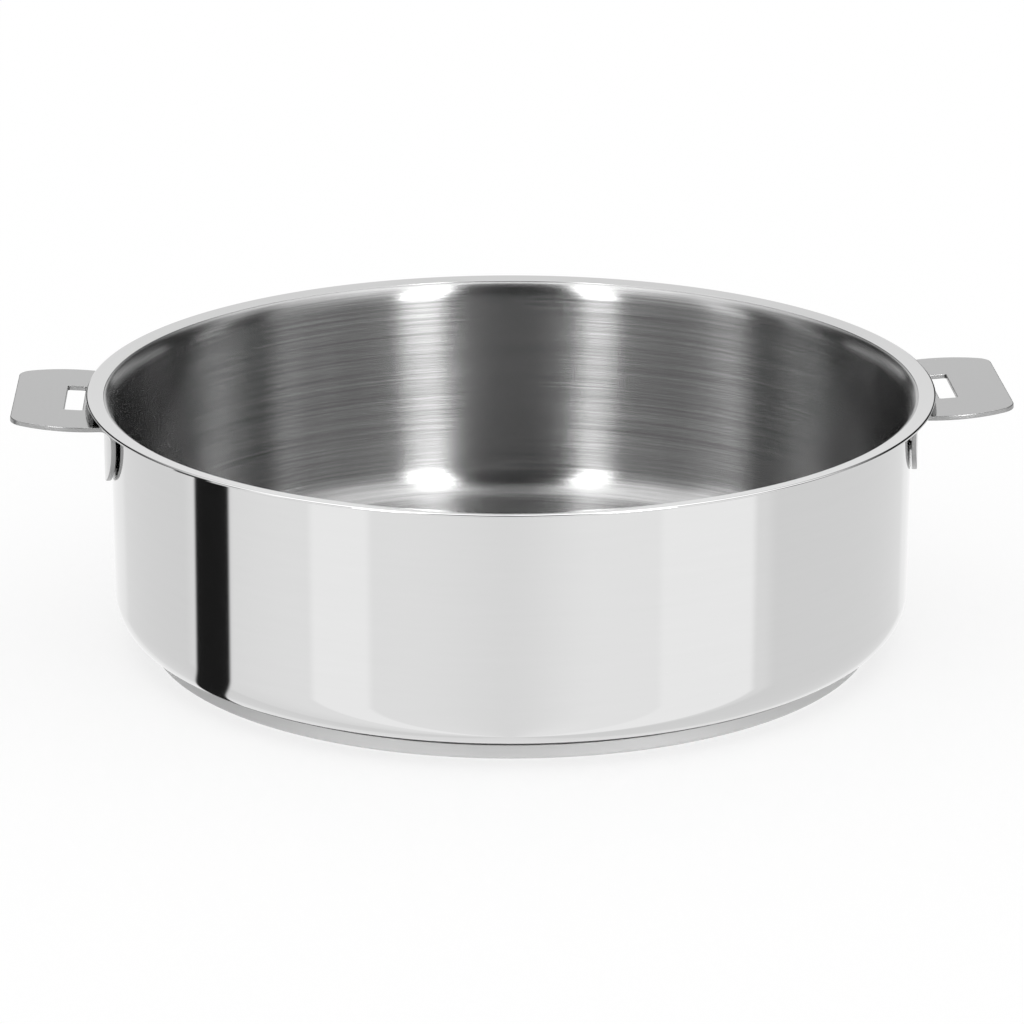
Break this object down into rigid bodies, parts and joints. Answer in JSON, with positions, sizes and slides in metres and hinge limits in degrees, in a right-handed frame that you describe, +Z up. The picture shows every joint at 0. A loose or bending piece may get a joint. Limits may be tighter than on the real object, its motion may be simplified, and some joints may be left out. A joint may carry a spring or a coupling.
{
  "type": "saute pan",
  "caption": "Round straight-sided saute pan with a rolled rim, a bonded flat base and a slotted carrying lug on each side.",
  "frame": {"origin": "centre of the underside of the base, on the surface that the pan stands on", "axes": "+Z up along the pan's axis; +X out through the middle of the right lug, -X through the left lug"},
  "size_m": [0.349, 0.2984, 0.0916],
  "materials": {
    "vessel_steel": "mirror polished outside and on the rim, brushed round in circles inside",
    "core_aluminium": "plain, sealed inside the base",
    "cap_steel": "polished side, satin underside turned in circles",
    "lug_steel": "satin faces with polished edges"
  },
  "bodies": {
    "root": {"pan_body": "vessel_steel", "aluminium_core": "core_aluminium", "base_cap": "cap_steel", "left_lug": "lug_steel", "right_lug": "lug_steel"}
  },
  "joints": []
}
